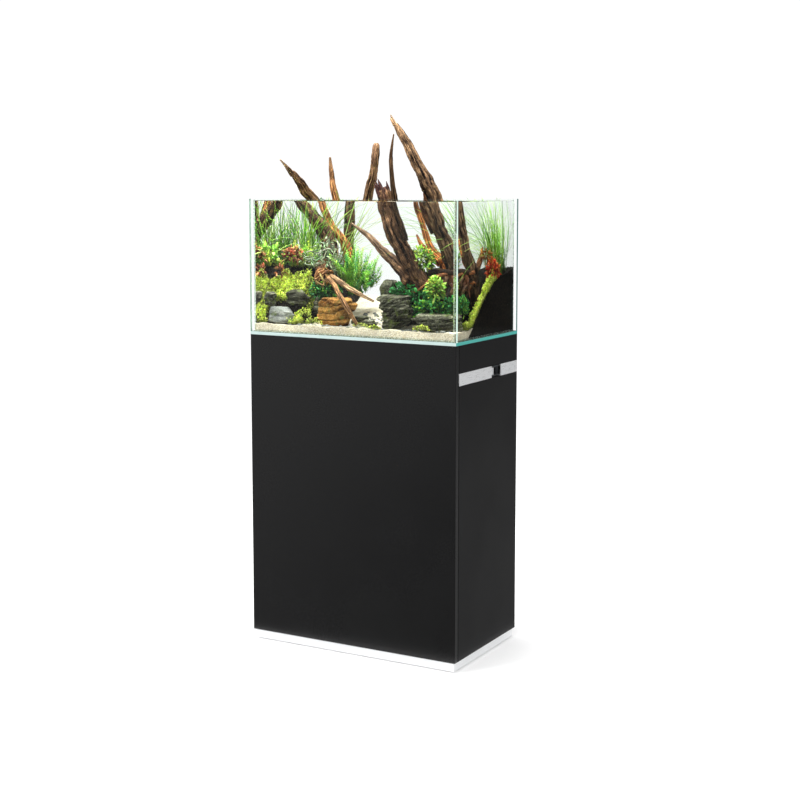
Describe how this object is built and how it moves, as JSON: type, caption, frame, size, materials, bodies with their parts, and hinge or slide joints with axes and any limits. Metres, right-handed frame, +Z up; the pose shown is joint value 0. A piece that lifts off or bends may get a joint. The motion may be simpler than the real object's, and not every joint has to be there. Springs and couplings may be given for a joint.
{
  "type": "aquarium on stand",
  "caption": "Rimless planted aquarium with driftwood on a tall black cabinet stand with one door, aluminium plinth and side hose outlets.",
  "frame": {"origin": "on the floor, under the centre of the footprint", "axes": "+Z up, +Y to the rear, +X to the right as seen from the door side"},
  "size_m": [0.6, 0.35, 1.3759],
  "materials": {
    "black_front": "satin black lacquer",
    "black_panel": "black laminate, fine grain",
    "plinth_metal": "brushed silver facing",
    "trim_metal": "brushed and anodised",
    "outlet_plastic": "matte moulded",
    "foot": "matte moulded",
    "hinge_steel": "nickel plated",
    "bumper": "soft clear grey",
    "latch": "grey moulded",
    "mat": "foam mat",
    "glass": "clear float glass, polished edges",
    "silicone": "clear silicone",
    "sand": "fine quartz sand",
    "soil": "baked granules",
    "grey_stone": "weathered",
    "dark_stone": "layered",
    "orange_stone": "rusty layered",
    "driftwood": "weathered, raw",
    "leaves": "living leaves"
  },
  "bodies": {
    "stand_and_tank": {"back_panel": "black_panel", "bush_centre": "leaves", "bush_right": "leaves", "cabinet_floor": "black_panel", "cam_locks": "hinge_steel", "cabinet_top": "black_panel", "carpet_plants": "leaves", "foot_sockets": "outlet_plastic", "glass_base": "glass", "glass_front": "glass", "glass_left": "glass", "glass_rear": "glass", "glass_right": "glass", "grass_left": "leaves", "grass_right": "leaves", "hinge_arm_lower": "hinge_steel", "hinge_arm_upper": "hinge_steel", "latch_body": "latch", "outlet_left": "outlet_plastic", "outlet_right": "outlet_plastic", "plinth_front": "plinth_metal", "plinth_left": "plinth_metal", "plinth_rear": "plinth_metal", "plinth_right": "plinth_metal", "sand": "sand", "shelf": "black_panel", "shelf_pins": "hinge_steel", "side_left": "black_panel", "side_right": "black_panel", "silicone_seams": "silicone", "small_stones": "grey_stone", "soil_left": "soil", "soil_right": "soil", "stone_grey": "grey_stone", "stone_layered": "dark_stone", "stone_ledge": "dark_stone", "stone_orange": "orange_stone", "tank_mat": "mat", "trim_left_front": "trim_metal", "trim_left_rear": "trim_metal", "trim_right_front": "trim_metal", "trim_right_rear": "trim_metal", "wood_forked": "driftwood", "wood_leaning": "driftwood", "wood_main": "driftwood", "wood_thin": "driftwood", "wood_upright": "driftwood"},
    "door": {"door": "black_front", "door_bumpers": "bumper", "hinge_cup_lower": "hinge_steel", "hinge_cup_upper": "hinge_steel"},
    "hinge_links": {"hinge_link_lower": "hinge_steel", "hinge_link_upper": "hinge_steel"},
    "latch_plunger": {"latch_plunger": "latch"},
    "shutter_left": {"shutter_left": "trim_metal"},
    "shutter_right": {"shutter_right": "trim_metal"},
    "foot_front_left": {"foot_front_left": "foot"},
    "foot_front_right": {"foot_front_right": "foot"},
    "foot_rear_left": {"foot_rear_left": "foot"},
    "foot_rear_right": {"foot_rear_right": "foot"}
  },
  "joints": [
    {"name": "hinge_link_swing", "type": "hinge", "parent": "stand_and_tank", "child": "hinge_links", "pos_m": [-0.2585, -0.154, 0.4075], "axis": [0, 0, 1], "range_deg": [0, 30.5]},
    {"name": "door_swing", "type": "hinge", "parent": "hinge_links", "child": "door", "pos_m": [-0.2875, -0.1615, 0.4075], "axis": [0, 0, -1], "range_deg": [0, 125.4]},
    {"name": "latch_press", "type": "slide", "parent": "stand_and_tank", "child": "latch_plunger", "axis": [0, 1, 0], "range_m": [0, 0.005], "stiffness_N_per_m": 300, "springref_m": -0.002},
    {"name": "shutter_left_slide", "type": "slide", "parent": "stand_and_tank", "child": "shutter_left", "axis": [0, 1, 0], "range_m": [0, 0.036]},
    {"name": "shutter_right_slide", "type": "slide", "parent": "stand_and_tank", "child": "shutter_right", "axis": [0, 1, 0], "range_m": [0, 0.036]},
    {"name": "foot_front_left_adjust", "type": "slide", "parent": "stand_and_tank", "child": "foot_front_left", "axis": [0, 0, 1], "range_m": [-0.01, 0]},
    {"name": "foot_front_right_adjust", "type": "slide", "parent": "stand_and_tank", "child": "foot_front_right", "axis": [0, 0, 1], "range_m": [-0.01, 0]},
    {"name": "foot_rear_left_adjust", "type": "slide", "parent": "stand_and_tank", "child": "foot_rear_left", "axis": [0, 0, 1], "range_m": [-0.01, 0]},
    {"name": "foot_rear_right_adjust", "type": "slide", "parent": "stand_and_tank", "child": "foot_rear_right", "axis": [0, 0, 1], "range_m": [-0.01, 0]}
  ],
  "couplings": [
    {"joint": "hinge_link_swing", "follows": "door_swing", "ratio": 0.24242}
  ]
}
